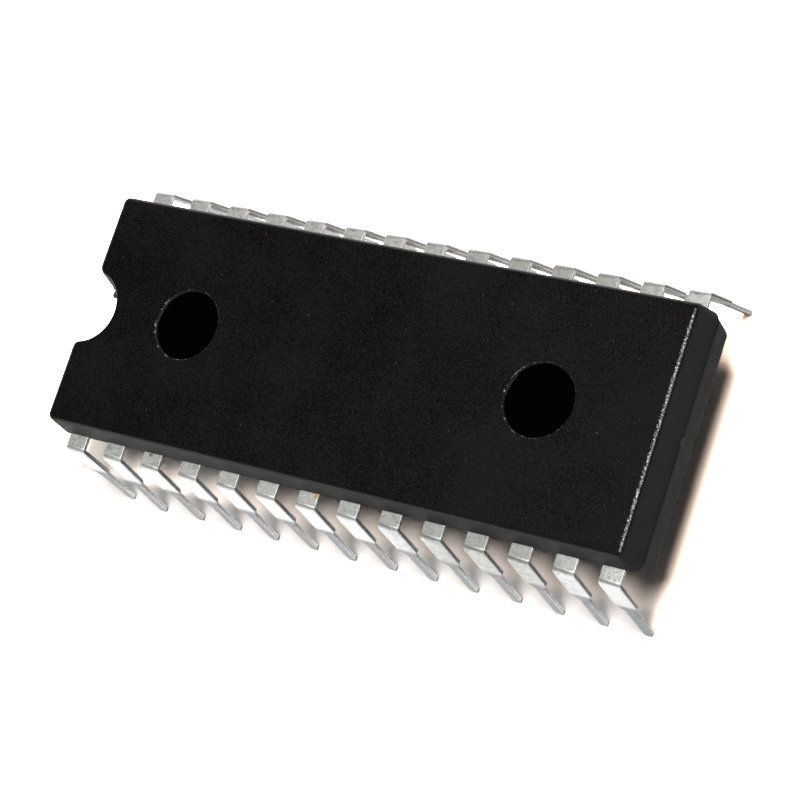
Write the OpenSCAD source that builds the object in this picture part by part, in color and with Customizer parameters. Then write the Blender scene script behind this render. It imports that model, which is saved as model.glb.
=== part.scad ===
// Dual in-line integrated circuit package with 28 leads in two rows.
// All sizes are millimetres. +X runs along the body away from the notch, -Y is the row of leads
// 1 to 14, +Z is up, and z = 0 is the plane of the leg tips, under the middle of the body.

/* [Moulded body] */
// length of the upper half at the parting line
body_length = 35.8; // [35.4:0.1:37.4]
// width of the upper half at the parting line
body_width = 13.5; // [12.9:0.1:13.9]
// from the parting line up to the top face
upper_height = 2.0; // [1.6:0.05:2.4]
// from the parting line down to the underside
lower_height = 1.95; // [1.6:0.05:2.3]
// lean of every moulded wall away from vertical, degrees
draft_angle = 7.5; // [4:0.5:12]
// rounding between the walls and the top and bottom faces
edge_round = 0.35; // [0.15:0.05:0.4]
// rounding of the body's corners in plan, at the parting line
corner_round = 0.6; // [0.5:0.05:1.2]
// how far the lower half stands proud of the upper one at each end
end_step = 0.08; // [0.02:0.01:0.12]
// how far the lower half stands back from the upper one along each row
side_step = 0.15; // [0.05:0.01:0.25]

/* [Notch and ejector recesses] */
// radius of the notch at the top face
notch_radius = 2.05; // [1.5:0.05:2.2]
// distance of the notch's centre in from the end of the body
notch_inset = 0.18; // [0.1:0.01:0.5]
// lean of the notch's wall away from vertical, degrees
notch_draft = 12.5; // [6:0.5:18]
// diameter of the round ejector recesses
recess_diameter = 3.85; // [2.5:0.05:4.5]
// distance of each recess from the middle of the body
recess_offset = 10.8; // [8:0.1:12]
// depth of each recess
recess_depth = 0.16; // [0.08:0.01:0.3]
// how far the recesses sit off the middle line, towards the back row
recess_shift = 0.14; // [-0.2:0.02:0.2]

/* [Leads] */
// spacing of the leads along a row
lead_pitch = 2.54; // [2.5:0.01:2.56]
// spacing of the two rows, with the legs straight down
row_spacing = 15.12; // [15:0.02:15.6]
// thickness of the lead frame
lead_thickness = 0.25; // [0.2:0.01:0.3]
// width of the shoulder and the upper leg
shoulder_width = 1.2; // [1:0.05:1.5]
// width of the thin leg
leg_width = 0.48; // [0.4:0.01:0.6]
// inner radius of the bend between shoulder and leg
bend_radius = 0.05; // [0.05:0.05:0.4]
// outward splay of the legs, degrees
leg_splay = 10.5; // [0:0.5:14]
// drop from the parting line to the start of the taper
taper_drop = 2.5; // [2.2:0.05:3]
// length of the taper from the wide leg to the thin one
taper_length = 0.6; // [0.3:0.05:0.9]
// drop from the parting line to the leg tips
tip_drop = 6.2; // [5:0.05:7]

/* [Lead frame inside the body] */
// how far each pad runs in behind the body's wall
pad_reach = 1.0; // [0.8:0.05:1.2]
// diameter of the resin lock hole in each pad
lock_hole = 0.5; // [0.3:0.05:0.6]
// width of the inner fingers
finger_width = 0.4; // [0.3:0.02:0.45]
// length of the die paddle
paddle_length = 8.4; // [7.6:0.1:9]
// width of the die paddle
paddle_width = 5.8; // [5.4:0.1:6]
// how far the paddle lies below the leads
paddle_downset = 0.3; // [0.1:0.05:0.5]
// width of the two tie bars
tie_width = 0.5; // [0.3:0.05:0.6]
// gap between the paddle's edge and the finger tips
finger_gap = 0.35; // [0.25:0.05:0.5]

/* [Silicon die and wires] */
// length of the die
die_length = 6.6; // [5.6:0.1:7.2]
// width of the die
die_width = 4.2; // [3.8:0.1:4.8]
// thickness of the die
die_thickness = 0.35; // [0.25:0.01:0.4]
// thickness of the bonding layer under the die
attach_thickness = 0.03; // [0.02:0.01:0.05]
// diameter of the bond wires
wire_diameter = 0.03; // [0.025:0.005:0.05]
// height of the wire loops above the die
loop_height = 0.25; // [0.15:0.05:0.4]

/* [Hidden] */
$fn = 96;
LEADS_A_SIDE = 14;
lean = tan(draft_angle);
notch_lean = tan(notch_draft);
edge_run = edge_round * tan((90 - draft_angle) / 2);
corner_r = max(corner_round, max(upper_height, lower_height) * lean + edge_run + 0.02);
half_x = body_length / 2 - corner_r;
half_y = body_width / 2 - corner_r;

// notch: narrowest at the parting line, opening upwards and downwards with its own draft
notch_x = -body_length / 2 + notch_inset;
notch_r0 = notch_radius - upper_height * notch_lean;

// lead section: shoulder, bend, leg
bend_y = max(row_spacing / 2 - lead_thickness / 2 - bend_radius,
             body_width / 2 + 0.05);
bend_outer = bend_radius + lead_thickness;
bend_z = tip_drop - lead_thickness / 2 - bend_radius;
leg_length = (bend_z + bend_radius * sin(leg_splay)) / cos(leg_splay);
wide_length = (taper_drop - lead_thickness / 2 - bend_radius + bend_outer * sin(leg_splay))
              / cos(leg_splay);
lead_top = tip_drop + lead_thickness / 2;
lead_bottom = tip_drop - lead_thickness / 2;
pad_y = body_width / 2 - pad_reach;
lock_y = body_width / 2 - 0.58 * pad_reach;

// stack of the paddle, bonding layer and die
paddle_top = lead_top - paddle_downset;
die_bottom = paddle_top + attach_thickness;
die_top = die_bottom + die_thickness;

// finger tips around the paddle: eight along each long side, three beside each tie bar end
LONG_SIDE_REACH = 4;
tip_step = (paddle_length + 0.1) / 8;
rank_step = (paddle_width / 2 - tie_width / 2 - 0.4) / 2.4;

function place(i) = i - (LEADS_A_SIDE - 1) / 2;
function lead_x(i) = place(i) * lead_pitch;
function on_long_side(i) = abs(place(i)) < LONG_SIDE_REACH;
function end_rank(i) = (LEADS_A_SIDE - 1) / 2 - abs(place(i));
function finger_tip(i) =
    on_long_side(i)
    ? [place(i) * tip_step, -(paddle_width / 2 + finger_gap)]
    : [sign(place(i)) * (paddle_length / 2 + finger_gap),
       -(tie_width / 2 + 0.25 + finger_width / 2 + end_rank(i) * rank_step)];
function die_pad(i) =
    on_long_side(i)
    ? [place(i) * (die_length - 1) / 7.2, -(die_width / 2 - 0.15)]
    : [sign(place(i)) * (die_length / 2 - 0.15), -(0.35 + end_rank(i) * (die_width / 2 - 0.7) / 2.4)];
function unit(v) = v / norm(v);
function side_of(v) = [-v[1], v[0]];

// Section of a moulded wall from the parting line up: draft, then a true rounded edge. The round
// is a hair smaller than the edge it fills, so that it crosses the walls instead of grazing them.
module wall_profile(height) {
    top = corner_r - height * lean;
    round_x = top - edge_run;
    round_z = height - edge_round;
    polygon([[0, 0], [corner_r, 0],
             [round_x + edge_round * cos(draft_angle), round_z + edge_round * sin(draft_angle)],
             [round_x, height], [0, height]]);
    intersection() {
        translate([round_x, round_z]) circle(r = edge_round - 0.001);
        translate([round_x / 2, round_z - edge_round / 2]) square(2 * edge_round);
    }
}

// One moulded half above the parting line: a core, four wall strips and four turned corners.
module half_shell(mid_x, mid_y, height) {
    translate([-mid_x, -mid_y, 0]) cube([2 * mid_x, 2 * mid_y, height]);
    for (turn = [0, 180]) rotate([0, 0, turn]) {
        translate([mid_x, mid_y, 0]) rotate([90, 0, 0])
            linear_extrude(height = 2 * mid_y) wall_profile(height);
        translate([-mid_x, mid_y, 0]) rotate([90, 0, 90])
            linear_extrude(height = 2 * mid_x) wall_profile(height);
        translate([mid_x, mid_y, 0]) rotate_extrude(angle = 90) wall_profile(height);
        translate([-mid_x, mid_y, 0]) rotate([0, 0, 90]) rotate_extrude(angle = 90)
            wall_profile(height);
    }
}

// The notch through one half, opening with its draft.
module notch_cut(height) {
    over = 0.2;
    translate([notch_x, 0, 0])
        cylinder(h = height + over, r1 = notch_r0, r2 = notch_r0 + (height + over) * notch_lean);
}

module moulded_half(grow_x, grow_y, height) {
    difference() {
        half_shell(half_x + grow_x, half_y + grow_y, height);
        notch_cut(height);
        for (side = [-1, 1])
            translate([side * recess_offset, recess_shift, height - recess_depth])
                cylinder(h = 1, d = recess_diameter);
    }
}

module moulded_body() color([0.1, 0.1, 0.1]) difference() {
    translate([0, 0, tip_drop]) union() {
        moulded_half(0, 0, upper_height);
        mirror([0, 0, 1]) moulded_half(end_step, -side_step, lower_height);
    }
    for (row = [0, 180]) rotate([0, 0, row])
        for (i = [0:LEADS_A_SIDE - 1]) {
            lead_flat(i);
            wire_run(i);
        }
    paddle_shape();
    attach_shape();
    die_shape();
}

// The flat part of a lead: shoulder, pad with its lock hole, and the finger towards the die.
module lead_flat(i) {
    x = lead_x(i);
    root = [x, -(pad_y + 0.3)];
    tip = finger_tip(i);
    along = unit(tip - root);
    across = side_of(along) * finger_width / 2;
    translate([0, 0, lead_bottom]) linear_extrude(height = lead_thickness) difference() {
        union() {
            translate([x - shoulder_width / 2, -bend_y])
                square([shoulder_width, bend_y - pad_y]);
            polygon([root - across, tip - across, tip + across, root + across]);
        }
        translate([x, -lock_y]) circle(d = lock_hole);
    }
}

// The leg in its own plane: wide, tapered, thin, with a rounded tip. -X is the way down.
module leg_outline() {
    wide = shoulder_width / 2;
    thin = leg_width / 2;
    narrow = wide_length + taper_length;
    polygon([[0, -wide], [0, wide], [-wide_length, wide], [-narrow, thin],
             [thin - leg_length, thin], [thin - leg_length, -thin],
             [-narrow, -thin], [-wide_length, -wide]]);
    translate([thin - leg_length, 0]) intersection() {
        circle(r = thin);
        translate([-leg_width, -leg_width]) square([leg_width, 2 * leg_width]);
    }
}

// A whole lead of the front row: flat part, bend round an axis along X, then the splayed leg.
module lead_strip(i) {
    lead_flat(i);
    translate([lead_x(i) + shoulder_width / 2, -bend_y, bend_z])
        rotate([90, 0, -90]) rotate([0, 0, leg_splay]) {
            rotate_extrude(angle = 90 - leg_splay)
                translate([bend_radius, 0]) square([lead_thickness, shoulder_width]);
            translate([bend_radius, 0, shoulder_width / 2]) rotate([90, 0, 90])
                linear_extrude(height = lead_thickness) leg_outline();
        }
}

module lead(number) color([0.8, 0.8, 0.76])
    rotate([0, 0, number > LEADS_A_SIDE ? 180 : 0]) lead_strip((number - 1) % LEADS_A_SIDE);

module paddle_shape() {
    low = paddle_top - lead_thickness;
    joggle = paddle_length / 2 + 0.3;
    translate([-paddle_length / 2, -paddle_width / 2, low])
        cube([paddle_length, paddle_width, lead_thickness]);
    for (side = [-1, 1]) {
        reach = side < 0 ? -(notch_x + notch_r0) + 0.04 : body_length / 2 + end_step;
        translate([0, tie_width / 2, 0]) rotate([90, 0, 0]) linear_extrude(height = tie_width)
            polygon([[side * (paddle_length / 2 - 0.1), low], [side * joggle, low],
                     [side * (joggle + paddle_downset), lead_bottom], [side * reach, lead_bottom],
                     [side * reach, lead_top], [side * (joggle + paddle_downset), lead_top],
                     [side * joggle, paddle_top], [side * (paddle_length / 2 - 0.1), paddle_top]]);
    }
}

module die_paddle() color([0.75, 0.72, 0.66]) paddle_shape();

module attach_shape() translate([-die_length / 2 - 0.1, -die_width / 2 - 0.1, paddle_top])
    cube([die_length + 0.2, die_width + 0.2, attach_thickness]);
module die_attach() color([0.6, 0.6, 0.58]) attach_shape();

module die_shape() translate([-die_length / 2, -die_width / 2, die_bottom])
    cube([die_length, die_width, die_thickness]);
module silicon_die() color([0.3, 0.32, 0.38]) die_shape();

// A straight eight-sided piece of wire with a flat side down.
module rod(from, to) {
    v = to - from;
    translate(from) rotate([0, acos(v[2] / norm(v)), atan2(v[1], v[0])]) rotate([0, 0, 22.5])
        cylinder(h = norm(v), d = wire_diameter, $fn = 8);
}

// One wire: ball on the die, riser, loop, long descent and a stitch lying on the finger.
module wire_run(i) {
    flat = wire_diameter / 2 * cos(22.5);
    pad = die_pad(i);
    tip = finger_tip(i);
    root = [lead_x(i), -(pad_y + 0.3)];
    back = unit(root - tip);
    land = tip + back * 0.3;
    run = land - pad;
    out = unit(run);
    far = norm(run);
    crest = die_top + loop_height;
    foot = lead_top + flat;
    function at(s, z) = [pad[0] + out[0] * s, pad[1] + out[1] * s, z];
    translate([pad[0], pad[1], die_top]) cylinder(h = 0.03, d = 0.08, $fn = 8);
    rod(at(0, die_top + 0.02), at(0, crest - 0.05));
    rod(at(0, crest - 0.054), at(0.1, crest));
    rod(at(0.094, crest - 0.001), at(0.45 * far, crest - 0.03));
    rod(at(0.446 * far, crest - 0.029), at(far - 0.12, foot));
    rod(at(far - 0.125, foot), at(far, foot));
}

module bond_wire(number) color([0.85, 0.68, 0.3])
    rotate([0, 0, number > LEADS_A_SIDE ? 180 : 0]) wire_run((number - 1) % LEADS_A_SIDE);

moulded_body();
die_paddle();
die_attach();
silicon_die();
lead(1);  // lead_01
lead(2);  // lead_02
lead(3);  // lead_03
lead(4);  // lead_04
lead(5);  // lead_05
lead(6);  // lead_06
lead(7);  // lead_07
lead(8);  // lead_08
lead(9);  // lead_09
lead(10);  // lead_10
lead(11);  // lead_11
lead(12);  // lead_12
lead(13);  // lead_13
lead(14);  // lead_14
lead(15);  // lead_15
lead(16);  // lead_16
lead(17);  // lead_17
lead(18);  // lead_18
lead(19);  // lead_19
lead(20);  // lead_20
lead(21);  // lead_21
lead(22);  // lead_22
lead(23);  // lead_23
lead(24);  // lead_24
lead(25);  // lead_25
lead(26);  // lead_26
lead(27);  // lead_27
lead(28);  // lead_28
bond_wire(1);  // bond_wire_01
bond_wire(2);  // bond_wire_02
bond_wire(3);  // bond_wire_03
bond_wire(4);  // bond_wire_04
bond_wire(5);  // bond_wire_05
bond_wire(6);  // bond_wire_06
bond_wire(7);  // bond_wire_07
bond_wire(8);  // bond_wire_08
bond_wire(9);  // bond_wire_09
bond_wire(10);  // bond_wire_10
bond_wire(11);  // bond_wire_11
bond_wire(12);  // bond_wire_12
bond_wire(13);  // bond_wire_13
bond_wire(14);  // bond_wire_14
bond_wire(15);  // bond_wire_15
bond_wire(16);  // bond_wire_16
bond_wire(17);  // bond_wire_17
bond_wire(18);  // bond_wire_18
bond_wire(19);  // bond_wire_19
bond_wire(20);  // bond_wire_20
bond_wire(21);  // bond_wire_21
bond_wire(22);  // bond_wire_22
bond_wire(23);  // bond_wire_23
bond_wire(24);  // bond_wire_24
bond_wire(25);  // bond_wire_25
bond_wire(26);  // bond_wire_26
bond_wire(27);  // bond_wire_27
bond_wire(28);  // bond_wire_28
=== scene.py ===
"""Finished looks of a 28-lead dual in-line package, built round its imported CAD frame.

Lengths are metres in the frame of the CAD model: +X runs along the body away from the notch, -Y is the
row of leads 1 to 14, +Z is up, and z = 0 is the plane that the leg tips stand on.
"""

import logging
import math
from collections.abc import Callable, Iterator, Sequence
from contextlib import contextmanager
from dataclasses import dataclass
from enum import Enum

import bmesh
import bpy
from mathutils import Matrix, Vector


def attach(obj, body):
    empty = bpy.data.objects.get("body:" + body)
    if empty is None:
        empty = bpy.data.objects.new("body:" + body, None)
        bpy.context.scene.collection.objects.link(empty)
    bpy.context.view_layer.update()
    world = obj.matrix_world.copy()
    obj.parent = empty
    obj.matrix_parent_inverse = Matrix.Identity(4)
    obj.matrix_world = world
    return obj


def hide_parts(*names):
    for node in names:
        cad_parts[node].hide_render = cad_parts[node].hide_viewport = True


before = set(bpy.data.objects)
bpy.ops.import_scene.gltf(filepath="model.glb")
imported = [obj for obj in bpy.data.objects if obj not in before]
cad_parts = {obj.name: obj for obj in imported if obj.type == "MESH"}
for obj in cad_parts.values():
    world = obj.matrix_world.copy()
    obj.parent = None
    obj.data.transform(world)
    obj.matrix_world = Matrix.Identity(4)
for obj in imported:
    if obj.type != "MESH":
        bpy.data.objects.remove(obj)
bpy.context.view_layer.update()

MM = 0.001
BODY = "root"
LOG = logging.getLogger("package")

Pair = tuple[float, float]
Triple = tuple[float, float, float]
Outline = Sequence[Pair]
Level = tuple[float, Outline]

# Heights between which a wide leg gives way to its thin end.
LEG_STEP: Pair = (3.45 * MM, 3.95 * MM)

# Leg tips that stand clearly off their row: how far inwards and how far along +X.
TIP_SHIFTS: dict[int, Pair] = {1: (0.25 * MM, 0.18 * MM), 14: (0.06 * MM, 0.0)}

# Places of the colour sockets on a Mix node: two inputs and one output.
MIX_FIRST, MIX_SECOND, MIX_RESULT = 6, 7, 2


class Row(Enum):
    """The two rows of leads, by the side of the body that they leave from."""

    FRONT = -1
    BACK = 1


class Half(Enum):
    """The two halves of the mould, by the way in which each one grows from the parting plane."""

    UPPER = 1
    LOWER = -1


class Join(Enum):
    """What a tool body does to the piece that it meets."""

    ADD = "UNION"
    CUT = "DIFFERENCE"


# Working on a mesh by hand: one piece active at a time, everything else left unselected.


def deselect() -> None:
    """Leaves edit mode and leaves nothing selected."""
    if bpy.context.mode != "OBJECT":
        bpy.ops.object.mode_set(mode="OBJECT")
    bpy.ops.object.select_all(action="DESELECT")


def activate(piece: bpy.types.Object) -> None:
    """Makes one piece the only selected and the active one.

    Args:
        piece: the piece to work on.
    """
    deselect()
    piece.select_set(True)
    bpy.context.view_layer.objects.active = piece


@contextmanager
def editing(piece: bpy.types.Object) -> Iterator[None]:
    """Opens a piece in edit mode with nothing selected, and closes it again.

    Args:
        piece: the piece to open.
    """
    activate(piece)
    bpy.ops.object.mode_set(mode="EDIT")
    bpy.ops.mesh.select_all(action="DESELECT")
    yield
    bpy.ops.object.mode_set(mode="OBJECT")


def pick(piece: bpy.types.Object, kind: str, wanted: Callable[[object], bool]) -> None:
    """Selects the parts of the open mesh that pass a test, and nothing else.

    Args:
        piece: the piece that is open in edit mode.
        kind: "verts", "edges" or "faces".
        wanted: the test, given one bmesh vertex, edge or face.
    """
    bpy.ops.mesh.select_mode(type={"verts": "VERT", "edges": "EDGE", "faces": "FACE"}[kind])
    bpy.ops.mesh.select_all(action="DESELECT")
    mesh = bmesh.from_edit_mesh(piece.data)
    for part in [part for part in getattr(mesh, kind) if wanted(part)]:
        part.select_set(True)
    mesh.select_flush_mode()
    bmesh.update_edit_mesh(piece.data)


def middle(part: object) -> Vector:
    """The middle of an edge or a face."""
    points = [vertex.co for vertex in part.verts]
    return sum(points, Vector()) / len(points)


def settle(piece: bpy.types.Object, name: str) -> bpy.types.Object:
    """Names a piece and puts its place into its mesh, so that its object sits at the origin.

    Args:
        piece: the piece, in its place.
        name: its name, also of its mesh.

    Returns:
        The same piece.
    """
    activate(piece)
    bpy.ops.object.transform_apply(location=True, rotation=True, scale=True)
    piece.name = name
    piece.data.name = name
    return piece


def face_outwards(piece: bpy.types.Object) -> None:
    """Merges doubles and turns all the faces of a closed shell outwards.

    Args:
        piece: a closed shell.
    """
    with editing(piece):
        bpy.ops.mesh.select_all(action="SELECT")
        bpy.ops.mesh.remove_doubles(threshold=0.0002 * MM)
        bpy.ops.mesh.normals_make_consistent(inside=False)


def apply_modifier(piece: bpy.types.Object, kind: str, **settings: object) -> None:
    """Adds one modifier with its settings and applies it at once.

    Args:
        piece: the piece that it changes.
        kind: Blender's name of the modifier's type.
        settings: properties of the modifier, by name.
    """
    activate(piece)
    modifier = piece.modifiers.new(kind.lower(), kind)
    for key, value in settings.items():
        setattr(modifier, key, value)
    bpy.ops.object.modifier_apply(modifier=modifier.name)


def combine(piece: bpy.types.Object, tool: bpy.types.Object, join: Join) -> None:
    """Adds a tool body to a piece, or cuts it out, and removes the tool."""
    apply_modifier(piece, "BOOLEAN", object=tool, operation=join.value, solver="EXACT")
    bpy.data.objects.remove(tool, do_unlink=True)


def smooth(piece: bpy.types.Object, degrees: float) -> None:
    """Smooths all edges softer than an angle, with the large flat faces kept flat.

    Args:
        piece: the finished piece.
        degrees: edges sharper than this stay sharp.
    """
    activate(piece)
    bpy.ops.object.shade_smooth_by_angle(angle=math.radians(degrees))
    apply_modifier(piece, "WEIGHTED_NORMAL", keep_sharp=True, weight=60)


def raised(levels: Sequence[Level]) -> bpy.types.Object:
    """A closed solid raised level by level from its lowest outline.

    Args:
        levels: (z, outline) pairs from the bottom up; every outline has the same number of points.

    Returns:
        The solid, still to be named.
    """
    deselect()
    base, outline = levels[0]
    bpy.ops.mesh.primitive_circle_add(
        vertices=len(outline), radius=MM, fill_type="NGON", location=(0, 0, base)
    )
    piece = bpy.context.object
    for vertex, (x, y) in zip(piece.data.vertices, outline):
        vertex.co = (x, y, 0)
    bpy.ops.object.mode_set(mode="EDIT")
    bpy.ops.mesh.select_mode(type="FACE")
    bpy.ops.mesh.select_all(action="SELECT")
    for (z0, old), (z1, new) in zip(levels, levels[1:]):
        bpy.ops.mesh.extrude_region_move(TRANSFORM_OT_translate={"value": (0, 0, z1 - z0)})
        mesh = bmesh.from_edit_mesh(piece.data)
        for vertex in [vertex for vertex in mesh.verts if vertex.select]:
            x, y = vertex.co.x, vertex.co.y
            k = min(range(len(old)), key=lambda i: math.hypot(old[i][0] - x, old[i][1] - y))
            vertex.co.x, vertex.co.y = new[k]
        bmesh.update_edit_mesh(piece.data)
    bpy.ops.object.mode_set(mode="OBJECT")
    face_outwards(piece)
    return piece


def turned(centre: Pair, profile: Sequence[Pair], sides: int = 96) -> bpy.types.Object:
    """A solid of revolution about a vertical axis.

    Args:
        centre: x and y of the axis.
        profile: (radius, z) pairs, from the bottom up.
        sides: points of the circle.

    Returns:
        The closed solid, still to be named.
    """
    turns = [2 * math.pi * k / sides for k in range(sides)]
    return raised(
        [
            (z, [(centre[0] + r * math.cos(a), centre[1] + r * math.sin(a)) for a in turns])
            for r, z in profile
        ]
    )


def ride(piece: bpy.types.Object, slot: str, stands_for: str) -> None:
    """Fixes a piece to the package, hides the CAD node that it replaces, and logs the finish slot that
    it fills.

    Args:
        piece: the finished piece.
        slot: the finish slot that it fills.
        stands_for: the CAD node that it replaces.
    """
    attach(piece, BODY)
    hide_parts(stands_for)
    triangles = sum(len(face.vertices) - 2 for face in piece.data.polygons)
    LOG.info("%s: %d triangles, %s", piece.name, triangles, slot)


# Materials: every finish is a small recipe of nodes on Object coordinates.


def scaled(colour: Triple, factor: float) -> Triple:
    """A colour made lighter or darker by one factor."""
    return tuple(part * factor for part in colour)


class Recipe:
    """Builds the node tree of one material."""

    def __init__(self, name: str) -> None:
        """Starts a material with its surface shader and Object coordinates.

        Args:
            name: name of the material.
        """
        self.material = bpy.data.materials.new(name)
        self.material.use_nodes = True
        self.tree = self.material.node_tree
        self.surface = self.tree.nodes["Principled BSDF"]
        self.place = self.tree.nodes.new("ShaderNodeTexCoord").outputs["Object"]

    def add(self, kind: str, **settings: object) -> bpy.types.Node:
        """Adds a node and sets its properties.

        Args:
            kind: Blender's name of the node's type.
            settings: properties of the node, by name.

        Returns:
            The new node.
        """
        node = self.tree.nodes.new(kind)
        for key, value in settings.items():
            setattr(node, key, value)
        return node

    def join(self, source: bpy.types.NodeSocket, target: bpy.types.NodeSocket) -> None:
        """Links one socket to another."""
        self.tree.links.new(source, target)

    def stretched(self, scale: Triple) -> bpy.types.NodeSocket:
        """Object coordinates with each axis scaled by itself.

        Args:
            scale: factor for each axis.

        Returns:
            The scaled coordinates.
        """
        node = self.add("ShaderNodeMapping")
        node.inputs["Scale"].default_value = scale
        self.join(self.place, node.inputs["Vector"])
        return node.outputs["Vector"]

    def noise(
        self,
        grain: float,
        detail: float = 2.0,
        roughness: float = 0.5,
        at: bpy.types.NodeSocket | None = None,
    ) -> bpy.types.NodeSocket:
        """Cloudy noise whose lumps are about one grain across, from 0 to 1.

        Args:
            grain: size of the largest lumps.
            detail: how many finer layers lie on them.
            roughness: how strong the finer layers are.
            at: coordinates to read, where they aren't plain Object coordinates.

        Returns:
            The noise.
        """
        node = self.add("ShaderNodeTexNoise")
        node.inputs["Scale"].default_value = 1.0 / grain
        node.inputs["Detail"].default_value = detail
        node.inputs["Roughness"].default_value = roughness
        self.join(at or self.place, node.inputs["Vector"])
        return node.outputs["Fac"]

    def cells(self, grain: float) -> bpy.types.Node:
        """Cells about one grain across, as a Voronoi node.

        Args:
            grain: mean size of a cell.

        Returns:
            The node, with its distance and colour.
        """
        node = self.add("ShaderNodeTexVoronoi", feature="F1")
        node.inputs["Scale"].default_value = 1.0 / grain
        self.join(self.place, node.inputs["Vector"])
        return node

    def flecks(self, spacing: float, radius: float, share: float) -> bpy.types.NodeSocket:
        """Single round grains of mixed brightness, 1 inside and 0 between them.

        Args:
            spacing: mean distance between the places where a grain may lie.
            radius: radius of a grain.
            share: share of those places that hold one.

        Returns:
            The mask of the grains.
        """
        grid = self.cells(spacing)
        near = self.band(grid.outputs["Distance"], 0.6 * radius / spacing, radius / spacing, (1, 0))
        pick_one = self.add("ShaderNodeSeparateColor")
        self.join(grid.outputs["Color"], pick_one.inputs["Color"])
        chosen = self.band(pick_one.outputs["Red"], 1 - share, 1.0)
        return self.times(near, chosen)

    def spot(self, centre: Triple, radius: float) -> bpy.types.NodeSocket:
        """A small soft mark with a ragged outline round one point of the part.

        Args:
            centre: the point on the part.
            radius: how far the mark reaches.

        Returns:
            The mask of the mark.
        """
        away = self.add("ShaderNodeVectorMath", operation="DISTANCE")
        self.join(self.place, away.inputs[0])
        away.inputs[1].default_value = centre
        ragged = self.times(self.noise(0.6 * radius, 2.0, 0.6), radius)
        return self.band(self.plus(away.outputs["Value"], ragged), radius, 1.5 * radius, (1, 0))

    def band(
        self, value: bpy.types.NodeSocket, low: float, high: float, to: Pair = (0, 1)
    ) -> bpy.types.NodeSocket:
        """Maps low..high smoothly onto a range, and clamps outside it.

        Args:
            value: what is mapped.
            low: the value that gives the range's first end.
            high: the value that gives its other end.
            to: the range.

        Returns:
            The mapped value.
        """
        node = self.add("ShaderNodeMapRange", interpolation_type="SMOOTHSTEP")
        node.inputs["From Min"].default_value = low
        node.inputs["From Max"].default_value = high
        node.inputs["To Min"].default_value = to[0]
        node.inputs["To Max"].default_value = to[1]
        self.join(value, node.inputs["Value"])
        return node.outputs["Result"]

    def spread(self, value: bpy.types.NodeSocket, to: Pair) -> bpy.types.NodeSocket:
        """Maps the range that most of a noise lies in onto another one."""
        return self.band(value, 0.3, 0.7, to)

    def calc(self, kind: str, *values: object) -> bpy.types.NodeSocket:
        """A Math node of one kind over sockets or plain numbers.

        Args:
            kind: Blender's name of the operation.
            values: its inputs, in order.

        Returns:
            The result.
        """
        node = self.add("ShaderNodeMath", operation=kind)
        for socket, value in zip(node.inputs, values):
            if isinstance(value, bpy.types.NodeSocket):
                self.join(value, socket)
            else:
                socket.default_value = value
        return node.outputs["Value"]

    def plus(self, first: object, second: object) -> bpy.types.NodeSocket:
        """The sum of two sockets or numbers."""
        return self.calc("ADD", first, second)

    def times(self, first: object, second: object) -> bpy.types.NodeSocket:
        """The product of two sockets or numbers."""
        return self.calc("MULTIPLY", first, second)

    def blend(
        self, share: bpy.types.NodeSocket, first: object, second: object
    ) -> bpy.types.NodeSocket:
        """Mixes two colours, each a socket or an RGB triple, by a share.

        Args:
            share: share of the second colour.
            first: the colour at a share of 0.
            second: the colour at a share of 1.

        Returns:
            The mixed colour.
        """
        node = self.add("ShaderNodeMix", data_type="RGBA")
        self.join(share, node.inputs["Factor"])
        for place, colour in ((MIX_FIRST, first), (MIX_SECOND, second)):
            if isinstance(colour, bpy.types.NodeSocket):
                self.join(colour, node.inputs[place])
            else:
                node.inputs[place].default_value = (*colour, 1.0)
        return node.outputs[MIX_RESULT]

    def axis(self, letter: str) -> bpy.types.NodeSocket:
        """One of the Object coordinates, in metres.

        Args:
            letter: X, Y or Z.

        Returns:
            The coordinate.
        """
        node = self.add("ShaderNodeSeparateXYZ")
        self.join(self.place, node.inputs["Vector"])
        return node.outputs[letter]

    def bump(
        self,
        height: bpy.types.NodeSocket,
        depth: float,
        under: bpy.types.NodeSocket | None = None,
    ) -> bpy.types.NodeSocket:
        """Relief of a real depth, over another bump where one is given.

        Args:
            height: the relief, from 0 to 1.
            depth: how deep it is.
            under: the normal of a bump that lies under this one.

        Returns:
            The normal.
        """
        node = self.add("ShaderNodeBump")
        node.inputs["Strength"].default_value = 1.0
        node.inputs["Distance"].default_value = depth
        self.join(height, node.inputs["Height"])
        if under is not None:
            self.join(under, node.inputs["Normal"])
        return node.outputs["Normal"]

    def paint(self, **sockets: object) -> None:
        """Sets or links inputs of the surface shader, named with underscores for spaces.

        Args:
            sockets: a value or a socket for each input.
        """
        for key, value in sockets.items():
            socket = self.surface.inputs[key.replace("_", " ")]
            if isinstance(value, bpy.types.NodeSocket):
                self.join(value, socket)
            else:
                socket.default_value = value


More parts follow.
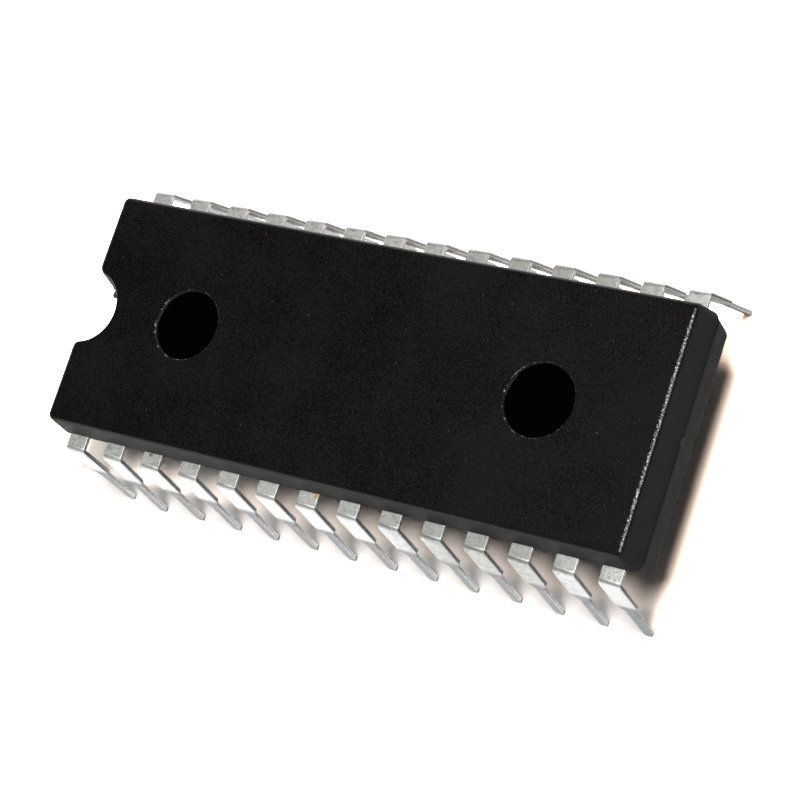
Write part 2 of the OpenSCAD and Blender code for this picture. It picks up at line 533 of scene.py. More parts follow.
@dataclass(frozen=True)
class ErodedCompound:
    """The spark-eroded grain that the mould leaves on the top and underside of the compound, with
    painted light on its top: paler to the right, and painted glints along the right end's edge and the
    recess rims.
    """

    recess: Triple
    dark: Triple = (0.0036, 0.0036, 0.0031)
    pale: Triple = (0.0132, 0.0132, 0.0118)
    filler: Triple = (0.12, 0.12, 0.112)
    painted_glint: Triple = (0.8, 0.8, 0.77)
    grain: float = 0.075 * MM
    depth: float = 0.012 * MM
    cloud_size: float = 5 * MM
    # Painted light: the top grows paler towards the right and its faint grains denser there, standing
    # in for the lamp's glints.
    painted_light_along: Pair = (-4 * MM, 12 * MM)
    faint_flecks: Triple = (0.19 * MM, 0.034 * MM, 0.5)
    glint_share_along: Pair = (-12 * MM, 16 * MM)
    clear_flecks: Triple = (0.6 * MM, 0.042 * MM, 0.35)
    roughness: Pair = (0.16, 0.26)
    specular: float = 0.25
    # Painted highlights: grains of glint along the right end's top edge and round the lamp side of the
    # recess rims.
    glint_flecks: Triple = (0.085 * MM, 0.055 * MM, 0.75)
    edge_line: Pair = (17.31 * MM, 17.5 * MM)
    edge_soft: float = 0.05 * MM
    edge_ends: Pair = (5.7 * MM, 6.0 * MM)
    rim_from: Pair = (0.0, 0.02 * MM)
    rim_to: Pair = (0.05 * MM, 0.09 * MM)
    rim_lit: Pair = (-0.9, -0.45)
    rim_gap: float = 0.7 * MM

    def material(self) -> bpy.types.Material:
        """Near-black, finely pitted, with single bright grains of filler; paler to the right and with
        painted glints, both painted light.

        Returns:
            The finished material.
        """
        mix = Recipe("eroded_compound")
        pits = mix.noise(self.grain, 2.0, 0.6)
        cloud = mix.noise(self.cloud_size, 3.0, 0.55)
        tone = mix.plus(mix.band(pits, 0.32, 0.68), mix.spread(cloud, (-0.25, 0.25)))
        # Painted light: paler towards the right.
        tone = mix.plus(tone, mix.band(mix.axis("X"), *self.painted_light_along, (0.0, 0.3)))
        ground = mix.blend(mix.band(tone, 0.0, 1.0), self.dark, self.pale)
        # Real filler grains, whose share rising to the right paints glints.
        faint = mix.times(
            mix.flecks(*self.faint_flecks), mix.band(mix.axis("X"), *self.glint_share_along, (0.2, 0.5))
        )
        share = mix.calc("MAXIMUM", faint, mix.flecks(*self.clear_flecks))
        ground = mix.blend(share, ground, self.filler)
        mix.paint(
            # Painted highlight: the glint grains are painted pale into the colour.
            Base_Color=mix.blend(self.painted_edge_glints(mix), ground, self.painted_glint),
            Roughness=mix.spread(pits, self.roughness),
            Specular_IOR_Level=self.specular,
            Normal=mix.bump(pits, self.depth),
        )
        return mix.material

    def painted_edge_glints(self, mix: Recipe) -> bpy.types.NodeSocket:
        """Painted highlights: glinting grains along the right end's edge, where the rounded edge
        catches the lamp, and on the lamp side of the two recess rims.

        Args:
            mix: the recipe that they belong to.

        Returns:
            The mask of the grains.
        """
        along, across = mix.axis("X"), mix.axis("Y")
        start, end = self.edge_line
        edge = mix.times(
            mix.band(along, start, start + self.edge_soft),
            mix.times(
                mix.band(mix.calc("ABSOLUTE", across), *self.edge_ends, (1, 0)),
                mix.band(along, end - self.edge_soft, end, (1, 0)),
            ),
        )
        offset, shift, radius = self.recess
        aside = mix.calc("SUBTRACT", along, mix.times(mix.calc("SIGN", along), offset))
        back = mix.calc("SUBTRACT", across, shift)
        squares = mix.plus(mix.calc("POWER", aside, 2.0), mix.calc("POWER", back, 2.0))
        away = mix.calc("SQRT", squares)
        ring = mix.times(
            mix.band(away, radius + self.rim_from[0], radius + self.rim_from[1]),
            mix.band(away, radius + self.rim_to[0], radius + self.rim_to[1], (1, 0)),
        )
        # Painted highlight: the rim glints favour the side of each rim that faces the lamp.
        facing = mix.plus(mix.times(aside, self.rim_lit[0]), mix.times(back, self.rim_lit[1]))
        lit = mix.band(facing, 0.1 * radius, 0.9 * radius, (0.2, 1.0))
        gaps = mix.band(mix.noise(self.rim_gap, 2.0), 0.38, 0.52)
        ring = mix.times(mix.times(ring, lit), gaps)
        return mix.times(mix.flecks(*self.glint_flecks), mix.calc("MAXIMUM", edge, ring))


@dataclass(frozen=True)
class SatinCompound:
    """The smoother drafted walls and rounded edges of the compound."""

    colour: Triple = (0.021, 0.021, 0.0203)
    filler: Triple = (0.12, 0.12, 0.115)
    grain: float = 0.08 * MM
    depth: float = 0.003 * MM
    cloud_size: float = 0.9 * MM
    cloud_tone: float = 1.6
    # Painted light: the walls grow paler towards the left, standing in for the bright floor that they
    # mirror at that end.
    painted_light_along: Pair = (-17 * MM, 8 * MM)
    painted_light_tone: float = 3.2
    specks: Triple = (0.9 * MM, 0.035 * MM, 0.35)
    roughness: Pair = (0.46, 0.54)
    specular: float = 0.06

    def material(self) -> bpy.types.Material:
        """Black, satin, with a faint grain, clouds and a few pale specks; paler to the left as painted
        light.

        Returns:
            The finished material.
        """
        mix = Recipe("satin_compound")
        cloud = mix.noise(self.cloud_size, 2.0, 0.5)
        ground = mix.blend(cloud, self.colour, scaled(self.colour, self.cloud_tone))
        # Painted light: paler towards the left end.
        left = mix.band(mix.axis("X"), *self.painted_light_along, (1, 0))
        ground = mix.blend(left, ground, scaled(self.colour, self.painted_light_tone))
        mix.paint(
            Base_Color=mix.blend(mix.flecks(*self.specks), ground, self.filler),
            Roughness=mix.spread(cloud, self.roughness),
            Specular_IOR_Level=self.specular,
            Normal=mix.bump(mix.noise(self.grain, 2.0, 0.5), self.depth),
        )
        return mix.material


@dataclass(frozen=True)
class PinPolish:
    """The polished floor that an ejector pin leaves in the compound."""

    colour: Triple = (0.0004, 0.0004, 0.0003)
    cloud_size: float = 0.9 * MM
    cloud_tone: float = 2.0
    ripple: float = 0.25 * MM
    depth: float = 0.0005 * MM
    roughness: Pair = (0.08, 0.14)
    specular: float = 0.12

    def material(self) -> bpy.types.Material:
        """Deep smooth black, clouded by the end of the pin.

        Returns:
            The finished material.
        """
        mix = Recipe("pin_polish")
        cloud = mix.noise(self.cloud_size, 2.0, 0.5)
        mix.paint(
            Base_Color=mix.blend(cloud, self.colour, scaled(self.colour, self.cloud_tone)),
            Roughness=mix.spread(cloud, self.roughness),
            Specular_IOR_Level=self.specular,
            Normal=mix.bump(mix.noise(self.ripple, 2.0), self.depth),
        )
        return mix.material


@dataclass(frozen=True)
class TinPlate:
    """Dull tin over the lead frame: mottled on the shoulders, cleaner and brighter on the legs, with
    painted shade along the rows.
    """

    clean: Triple = (0.97, 0.97, 0.96)
    matt: Triple = (0.97, 0.97, 0.92)
    stained: Triple = (0.56, 0.57, 0.54)
    thin_leg: Triple = (0.40, 0.40, 0.42)
    thin_stain: Triple = (0.27, 0.27, 0.28)
    gilt: Triple = (0.9, 0.56, 0.16)
    gilt_place: Triple = (-0.8 * MM, -6.84 * MM, 6.325 * MM)
    gilt_radius: float = 0.14 * MM
    rust: Triple = (0.24, 0.1, 0.05)
    rust_place: Triple = (-11.4 * MM, -6.8 * MM, 6.3 * MM)
    rust_radius: float = 0.34 * MM
    patch_size: float = 0.34 * MM
    grain: float = 0.1 * MM
    brushing: Triple = (0.3, 1.0, 1.0)
    # Painted shade: the leads darken from the middle of each row towards the right and ease off again
    # near the right end.
    row_shade_along: Pair = (-3 * MM, 8 * MM)
    row_shade_ease_along: Pair = (11 * MM, 17 * MM)
    shoulder_height: Pair = (6.29 * MM, 6.31 * MM)
    grain_depth: float = 0.006 * MM
    brush_depth: float = 0.004 * MM
    metallic: float = 0.82
    roughness: Pair = (0.3, 0.5)

    def material(self) -> bpy.types.Material:
        """Matt metal whose gloss and tone change from grain to grain, and whose tone darkens along the
        rows as painted shade.

        Returns:
            The finished material.
        """
        mix = Recipe("tin_plate")
        along, height = mix.axis("X"), mix.axis("Z")
        patches = mix.noise(self.patch_size, 4.0, 0.68)
        grains = mix.noise(self.grain, 3.0, 0.65)
        brushed = mix.noise(self.grain, 3.0, 0.6, mix.stretched(self.brushing))
        # Painted shade along the rows.
        row_shade = mix.times(
            mix.band(along, *self.row_shade_along, (0.0, 0.65)),
            mix.band(along, *self.row_shade_ease_along, (1.0, 0.3)),
        )
        # Real mottling of the tin, with the painted shade along the rows added.
        mottle_and_shade = mix.plus(mix.band(patches, 0.48, 0.68), mix.band(grains, 0.52, 0.7, (0.0, 0.6)))
        mottle_and_shade = mix.plus(mottle_and_shade, row_shade)
        shoulder = mix.blend(mottle_and_shade, self.matt, self.stained)
        leg = mix.blend(mix.band(mix.plus(patches, row_shade), 0.66, 1.35), self.clean, self.stained)
        thin = mix.blend(mix.band(brushed, 0.35, 0.7), self.thin_leg, self.thin_stain)
        leg = mix.blend(mix.band(height, *LEG_STEP, (1, 0)), leg, thin)
        colour = mix.blend(mix.band(height, *self.shoulder_height), leg, shoulder)
        colour = mix.blend(mix.spot(self.gilt_place, self.gilt_radius), colour, self.gilt)
        rusty = mix.times(mix.spot(self.rust_place, self.rust_radius), mottle_and_shade)
        rough = mix.plus(grains, mix.times(patches, 0.4))
        mix.paint(
            Base_Color=mix.blend(rusty, colour, self.rust),
            Metallic=self.metallic,
            Roughness=mix.band(rough, 0.45, 0.9, self.roughness),
            Normal=mix.bump(grains, self.grain_depth, mix.bump(brushed, self.brush_depth)),
        )
        return mix.material


@dataclass(frozen=True)
class ShearedEdge:
    """The punched side faces of a lead: tin drawn over the rims and grey torn metal between, with a
    painted shade that is darkest in the middle.
    """

    # Painted shade: the dark core colour stands in for the shade that the side faces lie in.
    core: Triple = (0.2, 0.195, 0.19)
    torn: Triple = (0.55, 0.55, 0.53)
    rim: Triple = (0.86, 0.86, 0.85)
    middle: float = 8.68 * MM
    splay: float = 0.1853
    tear_size: float = 0.12 * MM
    depth: float = 0.003 * MM
    ragged: float = 0.06 * MM
    shade_reach: Pair = (0.045 * MM, 0.11 * MM)
    shade_shares: Pair = (0.45, 1.0)
    metallic: float = 0.95
    roughness: Pair = (0.3, 0.45)

    def material(self) -> bpy.types.Material:
        """Metal with fine tear marks, with painted shade darkest midway between the faces of the wide
        leg.

        Returns:
            The finished material.
        """
        mix = Recipe("sheared_edge")
        tears = mix.noise(self.tear_size, 4.0, 0.65)
        height = mix.axis("Z")
        plane = mix.plus(mix.calc("ABSOLUTE", mix.axis("Y")), mix.times(height, self.splay))
        away = mix.calc("ABSOLUTE", mix.calc("SUBTRACT", plane, self.middle))
        # Painted shade: darkest midway between the faces, fuller on the wide leg.
        shaded_middle = mix.band(mix.plus(away, mix.times(tears, self.ragged)), *self.shade_reach, (1, 0))
        wide = mix.band(height, *LEG_STEP, self.shade_shares)
        ground = mix.blend(mix.band(tears, 0.42, 0.66), self.torn, self.rim)
        mix.paint(
            Base_Color=mix.blend(mix.times(shaded_middle, wide), ground, self.core),
            Metallic=self.metallic,
            Roughness=mix.spread(tears, self.roughness),
            Normal=mix.bump(tears, self.depth),
        )
        return mix.material


@dataclass(frozen=True)
class FrameAlloy:
    """Bare nickel iron strip, as rolled, on the paddle inside; its cut ends show outside, painted
    near-black as shade.
    """

    colour: Triple = (0.52, 0.49, 0.43)
    # Painted shade: the cut ends are near-black, which hides their glint at the ends of the body.
    shaded_cut_end: Triple = (0.03, 0.029, 0.028)
    line_size: float = 0.05 * MM
    line_tone: float = 0.8
    rolling: Triple = (0.04, 1.0, 1.0)
    depth: float = 0.002 * MM
    outside: Pair = (17.2 * MM, 17.6 * MM)
    metallic: float = 0.6
    roughness: Pair = (0.28, 0.42)

    def material(self) -> bpy.types.Material:
        """Grey metal with fine rolling lines along X, and near-black cut ends as painted shade.

        Returns:
            The finished material.
        """
        mix = Recipe("frame_alloy")
        lines = mix.noise(self.line_size, 2.0, 0.5, mix.stretched(self.rolling))
        strip = mix.blend(lines, self.colour, scaled(self.colour, self.line_tone))
        # Painted shade on the cut ends outside the body.
        outside = mix.band(mix.calc("ABSOLUTE", mix.axis("X")), *self.outside)
        mix.paint(
            Base_Color=mix.blend(outside, strip, self.shaded_cut_end),
            Metallic=self.metallic,
            Roughness=mix.spread(lines, self.roughness),
            Normal=mix.bump(lines, self.depth),
        )
        return mix.material


@dataclass(frozen=True)
class BondingPaste:
    """Cured silver-filled paste under the die."""

    colour: Triple = (0.42, 0.42, 0.40)
    flake: Triple = (0.66, 0.66, 0.63)
    flake_size: float = 0.03 * MM
    depth: float = 0.003 * MM
    metallic: float = 0.35
    roughness: float = 0.6

    def material(self) -> bpy.types.Material:
        """Grainy grey paste with bright flakes.

        Returns:
            The finished material.
        """
        mix = Recipe("bonding_paste")
        flakes = mix.cells(self.flake_size).outputs["Distance"]
        mix.paint(
            Base_Color=mix.blend(mix.band(flakes, 0.1, 0.6), self.flake, self.colour),
            Metallic=self.metallic,
            Roughness=self.roughness,
            Normal=mix.bump(flakes, self.depth),
        )
        return mix.material


@dataclass(frozen=True)
class PolishedSilicon:
    """The die: dark polished silicon with a faint blue cast."""

    colour: Triple = (0.13, 0.14, 0.175)
    film: Triple = (0.16, 0.13, 0.19)
    film_size: float = 1.4 * MM
    ripple: float = 0.2 * MM
    depth: float = 0.0002 * MM
    metallic: float = 0.55
    roughness: Pair = (0.06, 0.12)

    def material(self) -> bpy.types.Material:
        """Glossy grey-blue with slight clouding from the passivation.

        Returns:
            The finished material.
        """
        mix = Recipe("polished_silicon")
        film = mix.noise(self.film_size, 2.0, 0.4)
        mix.paint(
            Base_Color=mix.blend(film, self.colour, self.film),
            Metallic=self.metallic,
            Roughness=mix.spread(film, self.roughness),
            Normal=mix.bump(mix.noise(self.ripple, 1.0), self.depth),
        )
        return mix.material


@dataclass(frozen=True)
class DrawnGold:
    """Drawn gold wire."""

    colour: Triple = (0.83, 0.62, 0.22)
    mark_size: float = 0.02 * MM
    mark_tone: float = 0.88
    depth: float = 0.0005 * MM
    roughness: Pair = (0.18, 0.3)

    def material(self) -> bpy.types.Material:
        """Warm metal with slight die marks along its run.

        Returns:
            The finished material.
        """
        mix = Recipe("drawn_gold")
        marks = mix.noise(self.mark_size, 2.0, 0.5)
        mix.paint(
            Base_Color=mix.blend(marks, self.colour, scaled(self.colour, self.mark_tone)),
            Metallic=1.0,
            Roughness=mix.spread(marks, self.roughness),
            Normal=mix.bump(marks, self.depth),
        )
        return mix.material


@dataclass(frozen=True)
class PaleFloor:
    """The floor: plain for the light, overexposed straight from the camera, as in the photograph."""

    colour: Triple = (0.93, 0.92, 0.91)
    cloud_size: float = 30 * MM
    cloud_tone: float = 0.985
    seen: Triple = (1.0, 0.915, 0.84)
    # Painted light: the shadow under the part is lifted more at its left end than at its right.
    seen_left: float = 4.0
    seen_right: Triple = (1.85, 1.62, 1.45)
    seen_along: Pair = (-20 * MM, -4 * MM)
    # A painted shadow patch on the floor by the part's front left corner.
    shadow_patch_tone: float = 0.8
    shadow_patch_from: Pair = (-21.6 * MM, -20.2 * MM)
    shadow_patch_to: Pair = (-18.8 * MM, -17.4 * MM)
    shadow_patch_before: Pair = (-5.4 * MM, -4.0 * MM)
    front: Triple = (1.2, 1.14, 1.1)
    front_before: Pair = (-7.8 * MM, -7.2 * MM)
    # Painted light: glare that clips the shadow's edge to white beyond the right end and behind the
    # part.
    glare: Triple = (6.4, 4.8, 3.8)
    glare_beyond: Pair = (16.0 * MM, 17.6 * MM)
    glare_behind: Pair = (5.0 * MM, 6.0 * MM)
    # Painted shade in reflections: the floor that the part mirrors darkens towards the right.
    mirror_left: Triple = (1.2, 1.2, 1.19)
    mirror_right: Triple = (0.36, 0.36, 0.35)
    mirror_along: Pair = (12 * MM, 23 * MM)

    def seen_colour(self, mix: Recipe) -> bpy.types.NodeSocket:
        """What the camera sees, with painted light and shadow by place: shadow lifted more under the
        left of the part, a painted shadow patch by its front left corner, and brighter behind the part
        and beyond its right end, where glare clips the shadow.

        Args:
            mix: the recipe of the floor.

        Returns:
            The colour.
        """
        along, across = mix.axis("X"), mix.axis("Y")
        under = mix.blend(
            mix.band(along, *self.seen_along), scaled(self.seen, self.seen_left), self.seen_right
        )
        # Painted shadow patch by the front left corner.
        corner = mix.times(
            mix.times(
                mix.band(along, *self.shadow_patch_from), mix.band(along, *self.shadow_patch_to, (1, 0))
            ),
            mix.band(across, *self.shadow_patch_before, (1, 0)),
        )
        under = mix.blend(corner, under, scaled(self.seen, self.shadow_patch_tone))
        seen = mix.blend(mix.band(across, *self.front_before), self.front, under)
        seen = mix.blend(mix.band(along, *self.glare_beyond), seen, self.glare)
        return mix.blend(mix.band(across, *self.glare_behind), seen, self.glare)

    def material(self) -> bpy.types.Material:
        """Faintly clouded, rough, and darker to the right in what the part mirrors, a painted falloff
        of light.

        Returns:
            The finished material.
        """
        mix = Recipe("pale_floor")
        ray = mix.add("ShaderNodeLightPath")
        mirrored = mix.calc("MAXIMUM", ray.outputs["Is Glossy Ray"], ray.outputs["Is Transmission Ray"])
        cloud = mix.noise(self.cloud_size, 2.0)
        plain = mix.blend(cloud, self.colour, scaled(self.colour, self.cloud_tone))
        # Painted falloff of light in what the part mirrors.
        mirror = mix.blend(
            mix.band(mix.axis("X"), *self.mirror_along), self.mirror_left, self.mirror_right
        )
        plain = mix.blend(mirrored, plain, mirror)
        mix.paint(
            Base_Color=mix.blend(ray.outputs["Is Camera Ray"], plain, self.seen_colour(mix)),
            Roughness=0.95,
            Specular_IOR_Level=0.0,
        )
        return mix.material


# The package itself.


@dataclass
class MouldedBody:
    """The black body: two drafted halves, the end notch and the two ejector recesses."""

    length: float = 35.8 * MM
    width: float = 13.5 * MM
    parting: float = 6.2 * MM
    heights: Pair = (2.0 * MM, 1.95 * MM)
    end_step: float = 0.08 * MM
    side_step: float = 0.15 * MM
    draft: float = math.radians(7.5)
    wall_parts: int = 4
    edge_round: float = 0.35 * MM
    edge_parts: int = 9
    corner_round: float = 0.6 * MM
    corner_parts: int = 14
    notch_radius: float = 2.05 * MM
    notch_inset: float = 0.18 * MM
    notch_draft: float = math.radians(12.5)
    notch_lip: float = 0.09 * MM
    notch_parts: int = 64
    mouth_rounds: Pair = (0.32 * MM, 0.55 * MM)
    mouth_start: float = math.radians(10)
    mouth_parts: int = 8
    nub_place: Triple = (-17.44 * MM, 1.4 * MM, 6.2 * MM)
    nub_size: Triple = (0.2, 0.24, 0.14)
    nub_rough: float = 0.12 * MM
    recess_radius: float = 1.925 * MM
    recess_offset: float = 10.8 * MM
    recess_shift: float = 0.14 * MM
    recess_depth: float = 0.16 * MM
    recess_lip: float = 0.08 * MM
    clear: float = 0.1 * MM

    def wall_steps(self, height: float) -> list[Pair]:
        """Inset and rise of each step up one half: the drafted wall, then the rounded edge.

        Args:
            height: from the parting plane to the flat face.

        Returns:
            (thickness, depth) pairs for the inset operator, from the parting plane.
        """
        wall = height - self.edge_round * (1 - math.sin(self.draft))
        parts, turns = self.wall_parts, self.edge_parts
        steps = [(wall * math.tan(self.draft) / parts, wall / parts)] * parts
        angles = [self.draft + (math.pi / 2 - self.draft) * k / turns for k in range(turns + 1)]
        for a, b in zip(angles, angles[1:]):
            inwards = self.edge_round * (math.cos(a) - math.cos(b))
            steps.append((inwards, self.edge_round * (math.sin(b) - math.sin(a))))
        return steps

    def half(self, side: Half) -> bpy.types.Object:
        """One moulded half, raised from its outline at the parting plane by inset steps.

        Args:
            side: which half.

        Returns:
            The closed half, still to be joined.
        """
        upper = side is Half.UPPER
        half_x = self.length / 2 + (0 if upper else self.end_step)
        half_y = self.width / 2 - (0 if upper else self.side_step)
        deselect()
        bpy.ops.mesh.primitive_plane_add(size=2.0, location=(0, 0, self.parting))
        piece = bpy.context.object
        with editing(piece):
            bpy.ops.mesh.select_all(action="SELECT")
            bpy.ops.transform.resize(value=(half_x, half_y, 1))
            bpy.ops.mesh.bevel(
                offset=self.corner_round, segments=self.corner_parts, affect="VERTICES"
            )
            bpy.ops.mesh.select_mode(type="FACE")
            bpy.ops.mesh.select_all(action="SELECT")
            if not upper:
                bpy.ops.mesh.flip_normals()
            for thickness, depth in self.wall_steps(self.heights[0 if upper else 1]):
                bpy.ops.mesh.inset(thickness=thickness, depth=depth, use_even_offset=True)
            pick(piece, "edges", lambda edge: edge.is_boundary)
            bpy.ops.mesh.edge_face_add()
        face_outwards(piece)
        return settle(piece, "body_half")

    def mouth(self, half: Half, rise: float, inset: float) -> Outline:
        """Outline of the notch core at one level, with the corners of the notch's mouth rounded off.

        Args:
            half: the half of the body that the level lies in.
            rise: distance from the parting plane.
            inset: how far the end wall stands in there from its place at the parting plane.

        Returns:
            Points round the core, from outside the front corner of the mouth to outside the back one.
        """
        upper = half is Half.UPPER
        centre = -self.length / 2 + self.notch_inset
        wall = -self.length / 2 - (0 if upper else self.end_step) + inset
        radius = self.notch_radius - (self.heights[0] - rise) * math.tan(self.notch_draft)
        past = rise - self.heights[0 if upper else 1] + self.notch_lip
        if past > 0:
            slope = min(1.0, past / self.notch_lip)
            radius += self.notch_lip * (1 - math.sqrt(max(0.0, 1 - slope * slope)))
        corners = {}
        for row in Row:
            curve = self.mouth_rounds[0 if row is Row.FRONT else 1]
            across = wall + curve - centre
            side = math.sqrt((radius + curve) ** 2 - across**2)
            middle_of = Vector((wall + curve, row.value * side))
            meets = math.atan2(side, across)
            arc = []
            for k in range(self.mouth_parts + 1):
                turn = math.pi + self.mouth_start + (meets - self.mouth_start) * k / self.mouth_parts
                x = middle_of.x + curve * math.cos(turn)
                arc.append((x, middle_of.y + row.value * curve * math.sin(turn)))
            corners[row] = (arc, meets)
        front, meets = corners[Row.FRONT]
        back, meets_back = corners[Row.BACK]
        parts = self.notch_parts
        bow = [-meets + (meets + meets_back) * k / parts for k in range(1, parts)]
        floor = [(centre + radius * math.cos(a), radius * math.sin(a)) for a in bow]
        near, far = wall - 0.03 * MM, wall - 1.2 * MM
        flare, spread = 0.14 * MM, 0.5 * MM
        outside = [
            (near, back[0][1] + flare),
            (far, back[0][1] + spread),
            (far, front[0][1] - spread),
            (near, front[0][1] - flare),
        ]
        return [*front, *floor, *back[::-1], *outside]

    def notch_tool(self) -> bpy.types.Object:
        """The mould's notch core: waisted at the parting plane, with a small lip at each face.

        Returns:
            The closed core, to be cut from the body.
        """
        levels = []
        for half in (Half.LOWER, Half.UPPER):
            height = self.heights[0 if half is Half.UPPER else 1]
            rise = inset = 0.0
            side = [(self.parting, self.mouth(half, 0.0, 0.0))]
            for thickness, depth in self.wall_steps(height):
                rise, inset = rise + depth, inset + thickness
                side.append((self.parting + half.value * rise, self.mouth(half, rise, inset)))
            side.append((self.parting + half.value * (height + self.clear), side[-1][1]))
            levels = levels + side[1:] if half is Half.UPPER else side[::-1]
        return raised(levels)

    def nub(self) -> bpy.types.Object:
        """A bead of flash that the mould left on the ridge inside the notch, near its far corner.

        Returns:
            The bead, to be joined to the body.
        """
        deselect()
        bpy.ops.mesh.primitive_ico_sphere_add(subdivisions=3, radius=MM, location=self.nub_place)
        piece = bpy.context.object
        with editing(piece):
            bpy.ops.mesh.select_all(action="SELECT")
            bpy.ops.transform.vertex_random(offset=self.nub_rough, seed=4)
            bpy.ops.transform.resize(value=self.nub_size, center_override=self.nub_place)
        return settle(piece, "flash_bead")

    def recess_tool(self, side: int) -> bpy.types.Object:
        """One ejector pin: a flat end, a short wall and a slightly broken rim.

        Args:
            side: -1 for the recess near the notch, 1 for the other.

        Returns:
            The closed end of the pin, to be cut from the body.
        """
        floor = self.parting + self.heights[0] - self.recess_depth
        radius, depth, lip = self.recess_radius, self.recess_depth, self.recess_lip
        profile = [
            (radius - 0.03 * MM, floor),
            (radius - 0.008 * MM, floor + 0.008 * MM),
            (radius, floor + 0.03 * MM),
            (radius + 0.006 * MM, floor + depth - lip),
            (radius + 0.016 * MM, floor + depth - 0.5 * lip),
            (radius + 0.045 * MM, floor + depth),
            (radius + 0.12 * MM, floor + depth + self.clear),
        ]
        return turned((side * self.recess_offset, self.recess_shift), profile)

    def dress(self, piece: bpy.types.Object) -> None:
        """Gives each face its finish by where it lies: flat faces, walls, or pin marks.

        Args:
            piece: the joined and cut body.
        """
        recess = (self.recess_offset, self.recess_shift, self.recess_radius)
        for finish in (SatinCompound(), ErodedCompound(recess), PinPolish()):
            piece.data.materials.append(finish.material())
        top = self.parting + self.heights[0]
        least_flat, pin_below, seam = 0.42, top - 0.9 * self.recess_depth, 0.01 * MM

        def height(face: object) -> float:
            """Distance of a face from the parting plane."""
            return abs(middle(face).z - self.parting)

        finishes = (
            (1, lambda face: abs(face.normal.z) > least_flat and height(face) > MM),
            (2, lambda face: self.in_recess(middle(face)) and middle(face).z < pin_below),
            (0, lambda face: height(face) < seam),
        )
        with editing(piece):
            for index, wanted in finishes:
                pick(piece, "faces", wanted)
                piece.active_material_index = index
                bpy.ops.object.material_slot_assign()

    def in_recess(self, point: Vector) -> bool:
        """Whether a point lies over one of the two ejector recesses."""
        across = Vector((abs(point.x) - self.recess_offset, point.y - self.recess_shift))
        return across.length < self.recess_radius + 0.04 * MM

    def build(self) -> None:
        """Both halves joined, cut and dressed, in place of the CAD body."""
        piece = self.half(Half.UPPER)
        combine(piece, self.half(Half.LOWER), Join.ADD)
        combine(piece, self.notch_tool(), Join.CUT)
        combine(piece, self.nub(), Join.ADD)
        for side in (-1, 1):
            combine(piece, self.recess_tool(side), Join.CUT)
        face_outwards(piece)
        settle(piece, "moulding")
        self.dress(piece)
        smooth(piece, 32)
        ride(piece, "moulding_compound", "moulded_body")


@dataclass
class LeadRows:
    """The 28 tinned leads, each one a strip of its own with its own slight bend."""

    count: int = 28
    bend_y: float = 7.385 * MM
    bend_z: float = 6.025 * MM
    edge: float = 0.022 * MM
    sway: float = 0.03 * MM
    sway_turn: float = 2.4
    sway_along: float = 0.6

    def tip_shift(self, number: int) -> Pair:
        """How far a leg tip stands inwards and along +X of its nominal place."""
        swing = self.sway * math.sin(self.sway_turn * number)
        return TIP_SHIFTS.get(number, (self.sway + swing, self.sway_along * swing))

    def strip(self, number: int, finishes: Sequence[bpy.types.Material]) -> None:
        """One lead: the CAD strip, merged, its edges broken, and its leg bent a little.

        Args:
            number: number of the lead, from 1.
            finishes: the plated finish, then that of the punched sides.
        """
        node = f"lead_{number:02d}"
        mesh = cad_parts[node].data.copy()
        piece = bpy.data.objects.new(f"tinned_strip_{number:02d}", mesh)
        bpy.context.scene.collection.objects.link(piece)
        with editing(piece):
            bpy.ops.mesh.select_all(action="SELECT")
            bpy.ops.mesh.remove_doubles(threshold=0.001 * MM)
            bpy.ops.mesh.dissolve_limited(angle_limit=math.radians(0.5))
        apply_modifier(
            piece,
            "BEVEL",
            width=self.edge,
            segments=2,
            limit_method="ANGLE",
            angle_limit=math.radians(35),
            use_clamp_overlap=False,
        )
        self.bend(piece, number)
        mesh.materials.clear()
        for finish in finishes:
            mesh.materials.append(finish)
        with editing(piece):
            pick(piece, "faces", lambda face: abs(face.normal.x) > 0.8)
            piece.active_material_index = 1
            bpy.ops.object.material_slot_assign()
        smooth(piece, 40)
        ride(piece, "tinned_lead", node)

    def bend(self, piece: bpy.types.Object, number: int) -> None:
        """Turns the leg about its bend so that its tip shifts as it does on the real part.

        Args:
            piece: the lead's strip.
            number: number of the lead, from 1.
        """
        row = Row.FRONT if number <= self.count // 2 else Row.BACK
        inward, along = self.tip_shift(number)
        tilt = inward / self.bend_z
        lean = along / self.bend_z
        for vertex in piece.data.vertices:
            drop = self.bend_z - vertex.co.z
            out = vertex.co.y * row.value - self.bend_y
            if out > 0 and drop > 0:
                vertex.co.y -= row.value * tilt * drop
                vertex.co.x += lean * drop

    def build(self) -> None:
        """All the leads of both rows."""
        finishes = (TinPlate().material(), ShearedEdge().material())
        for number in range(1, self.count + 1):
            self.strip(number, finishes)


@dataclass
class InnerParts:
    """What the body encloses: CAD nodes that keep their shape and get their own finish."""

    wires: int = 28

    def build(self) -> None:
        """Dresses the paddle, paste, die and bond wires."""
        finishes = {
            "die_paddle": FrameAlloy().material(),
            "die_attach": BondingPaste().material(),
            "silicon_die": PolishedSilicon().material(),
        }
        gold = DrawnGold().material()
        finishes.update({f"bond_wire_{k:02d}": gold for k in range(1, self.wires + 1)})
        for node, finish in finishes.items():
            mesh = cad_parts[node].data
            mesh.materials.clear()
            mesh.materials.append(finish)
            LOG.info("%s: dressed as %s", node, finish.name)


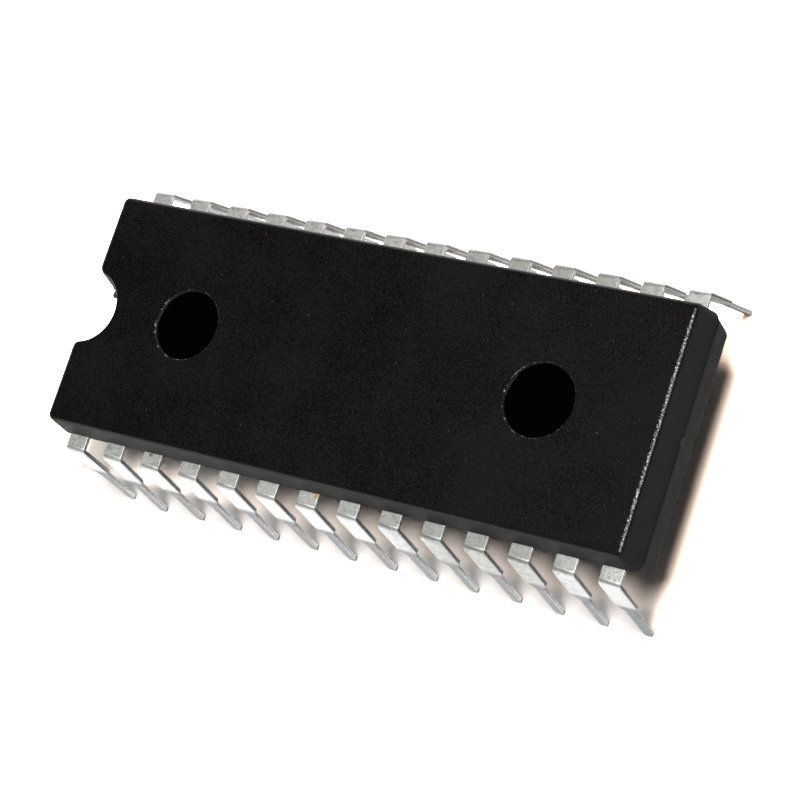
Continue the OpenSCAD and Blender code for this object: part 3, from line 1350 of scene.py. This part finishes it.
@dataclass
class Studio:
    """Pale floor, one soft lamp overhead, and the camera at the photograph's angle."""

    camera_place: Triple = (70.186 * MM, -23.881 * MM, 118.868 * MM)
    camera_turn: Triple = (0.34441, 0.46057, 0.35409)
    lens: float = 117.289
    sensor: float = 36
    shift: Pair = (-0.00069, 0.0)
    nearest: float = 5 * MM
    floor_size: float = 2400 * MM
    lamp_power: float = 2.95
    lamp_angle: float = math.radians(22)
    lamp_tilt: Pair = (math.radians(-2), math.radians(8.5))
    lamp_place: Triple = (0, 0, 300 * MM)
    tent_rim: Pair = (0.16, 0.38)
    tent_levels: Pair = (1.0, 0.02)

    def floor(self) -> None:
        """A wide pale floor under the leg tips, which keeps the part's shadow."""
        deselect()
        bpy.ops.mesh.primitive_plane_add(size=self.floor_size, location=(0, 0, 0))
        piece = settle(bpy.context.object, "floor")
        piece.data.materials.append(PaleFloor().material())

    def lamp(self) -> None:
        """One broad lamp overhead."""
        deselect()
        bpy.ops.object.light_add(type="SUN", location=self.lamp_place)
        lamp = bpy.context.object
        lamp.name = "overhead_lamp"
        lamp.rotation_euler = (*self.lamp_tilt, 0)
        lamp.data.energy = self.lamp_power
        lamp.data.angle = self.lamp_angle

    def surroundings(self) -> None:
        """A small light tent: white near the horizon, dark above, and dim for bounced light."""
        world = bpy.data.worlds.new("tent")
        bpy.context.scene.world = world
        world.use_nodes = True
        tree = world.node_tree
        backdrop = tree.nodes["Background"]
        place = tree.nodes.new("ShaderNodeTexCoord")
        parts = tree.nodes.new("ShaderNodeSeparateXYZ")
        ray = tree.nodes.new("ShaderNodeLightPath")
        fade = tree.nodes.new("ShaderNodeMapRange")
        fade.interpolation_type = "SMOOTHSTEP"
        fade.inputs["From Min"].default_value, fade.inputs["From Max"].default_value = self.tent_rim
        dim = tree.nodes.new("ShaderNodeMapRange")
        for node in (fade, dim):
            node.inputs["To Min"].default_value = self.tent_levels[0]
            node.inputs["To Max"].default_value = self.tent_levels[1]
        tree.links.new(place.outputs["Generated"], parts.inputs["Vector"])
        tree.links.new(parts.outputs["Z"], fade.inputs["Value"])
        tree.links.new(ray.outputs["Diffuse Depth"], dim.inputs["Value"])
        tree.links.new(fade.outputs["Result"], backdrop.inputs["Color"])
        tree.links.new(dim.outputs["Result"], backdrop.inputs["Strength"])

    def camera(self) -> None:
        """The camera, solved from the pitch of the leads."""
        deselect()
        bpy.ops.object.camera_add(location=self.camera_place, rotation=self.camera_turn)
        camera = bpy.context.object
        camera.data.sensor_width = self.sensor
        camera.data.lens = self.lens
        camera.data.shift_x, camera.data.shift_y = self.shift
        camera.data.clip_start = self.nearest
        bpy.context.scene.camera = camera

    def build(self) -> None:
        """Sets the stage with the plain view transform."""
        self.floor()
        self.lamp()
        self.surroundings()
        self.camera()
        bpy.context.scene.view_settings.view_transform = "Standard"


def main() -> None:
    """Builds the package and its stage, in order."""
    logging.basicConfig(level=logging.INFO, format="%(name)s: %(message)s")
    MouldedBody().build()
    LeadRows().build()
    InnerParts().build()
    Studio().build()
    deselect()


if __name__ == "__main__":
    main()
